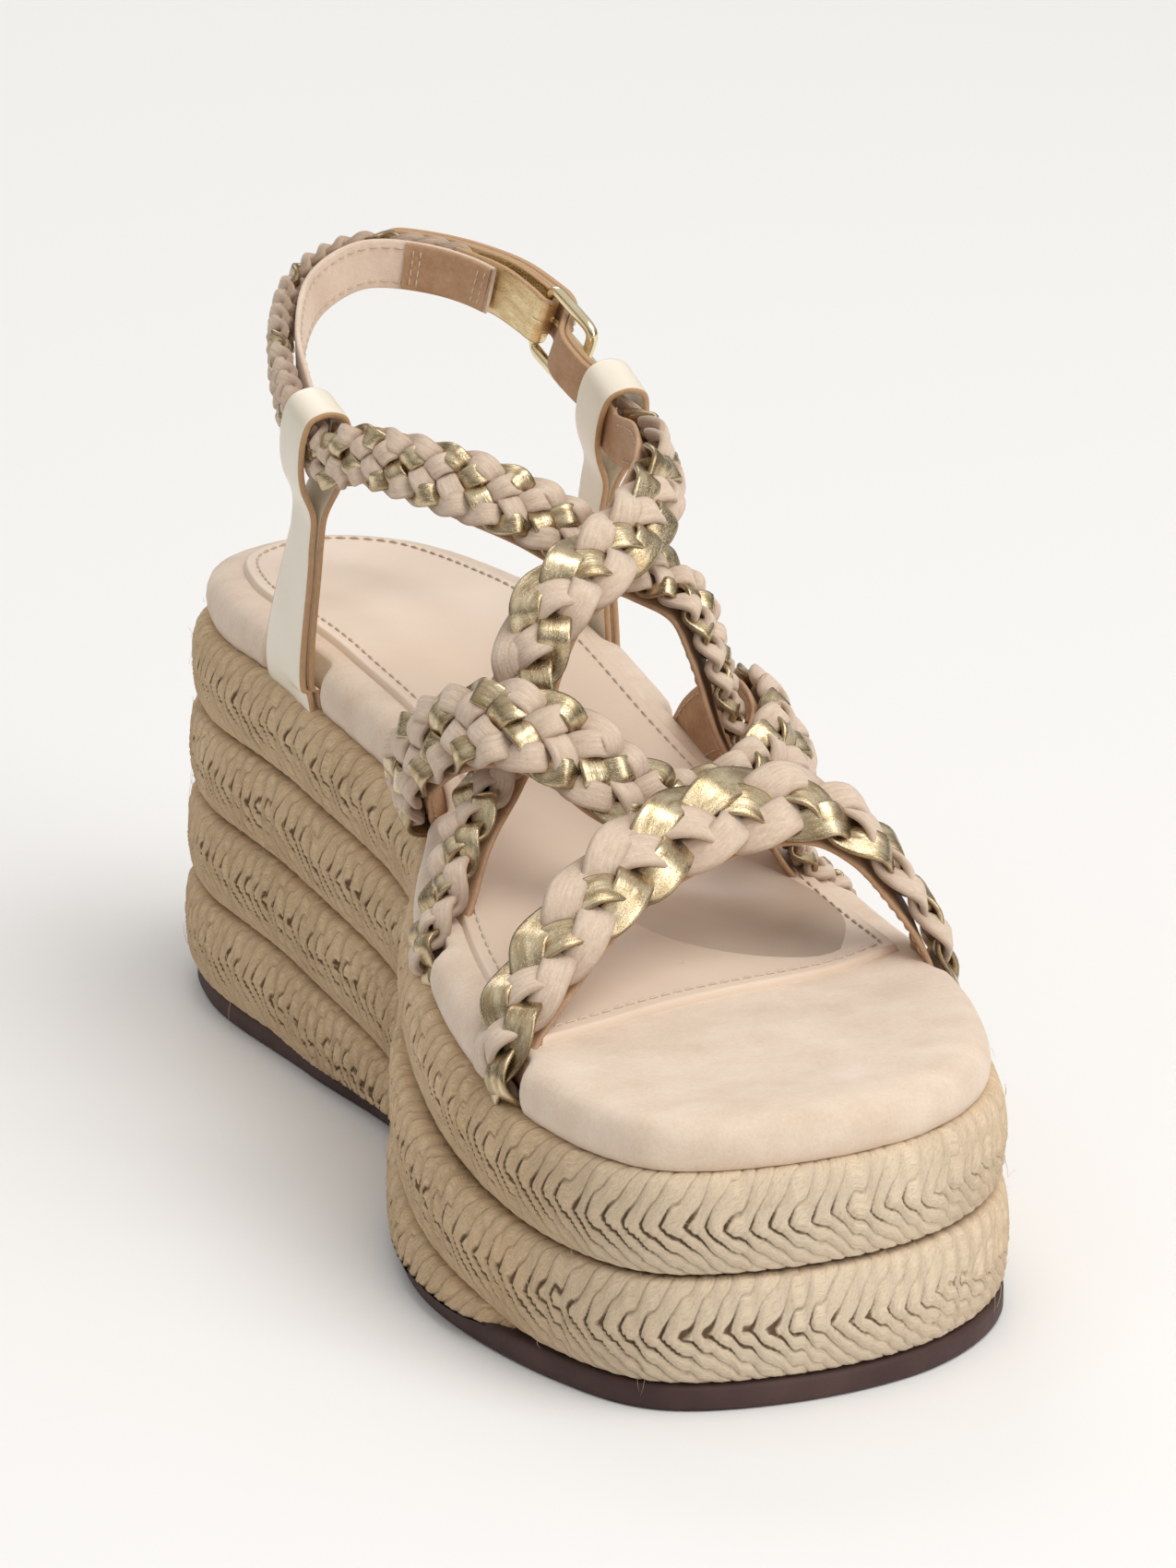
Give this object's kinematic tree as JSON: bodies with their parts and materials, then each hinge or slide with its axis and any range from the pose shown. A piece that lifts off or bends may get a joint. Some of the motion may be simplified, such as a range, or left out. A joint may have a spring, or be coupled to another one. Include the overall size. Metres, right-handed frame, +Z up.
{
  "type": "wedge sandal",
  "caption": "Open-toe wedge platform sandal with a jute-wrapped sole, crossed braided straps over the foot and a buckled braided strap round the heel.",
  "frame": {"origin": "on the ground under the outsole, at mid-length and about mid-width of the sole", "axes": "+Z up, -Y to the toe, +Y to the heel, -X to the big-toe side, +X to the little-toe side"},
  "size_m": [0.1031, 0.2573, 0.1483],
  "materials": {
    "rubber_outsole": "matt, dark maroon-brown",
    "wedge_foam": "moulded foam",
    "jute": "braided jute yarn",
    "shank_steel": "plain",
    "insole_board": "pressed fibre board",
    "footbed_foam": "soft foam",
    "suede": "suede",
    "sock_leather": "smooth, semi-gloss",
    "braid": "suede and pale gold foil strands",
    "backing_leather": "smooth lining leather",
    "cream_leather": "smooth, slightly pearly",
    "gold_leather": "pale gold foil",
    "gold_metal": "polished pale gold"
  },
  "bodies": {
    "sandal": {"outsole": "rubber_outsole", "wedge_core": "wedge_foam", "steel_shank": "shank_steel", "jute_row_1": "jute", "jute_row_2": "jute", "jute_row_3": "jute", "jute_row_4": "jute", "insole_board": "insole_board", "footbed_cover": "suede", "footbed_foam": "footbed_foam", "sock_lining": "sock_leather", "toe_strap_braid": "braid", "toe_strap_lining": "backing_leather", "vamp_strap_braid": "braid", "vamp_strap_lining": "backing_leather", "instep_strap_a_braid": "braid", "instep_strap_a_lining": "backing_leather", "instep_strap_b_braid": "braid", "instep_strap_b_lining": "backing_leather", "ankle_tab_medial": "cream_leather", "ankle_tab_lateral": "cream_leather"},
    "heel_strap": {"heel_strap_braid": "braid", "heel_strap_lining": "backing_leather", "buckle_chape": "gold_leather", "billet_strap": "suede", "billet_lining": "backing_leather"},
    "buckle": {"buckle_frame": "gold_metal"},
    "prong": {"buckle_prong": "gold_metal"}
  },
  "joints": [
    {"name": "heel_strap_tilt", "type": "hinge", "parent": "sandal", "child": "heel_strap", "pos_m": [0.00075, 0.044, 0.1235], "axis": [0.9999, 0, -0.0155], "range_deg": [-12, 15]},
    {"name": "buckle_swing", "type": "hinge", "parent": "heel_strap", "child": "buckle", "pos_m": [0.02724, 0.06973, 0.13539], "axis": [0.1269, -0.4425, 0.8877], "range_deg": [0, 18]},
    {"name": "prong_swing", "type": "hinge", "parent": "buckle", "child": "prong", "pos_m": [0.02724, 0.06973, 0.13539], "axis": [0.1269, -0.4425, 0.8877], "range_deg": [0, 55]}
  ]
}
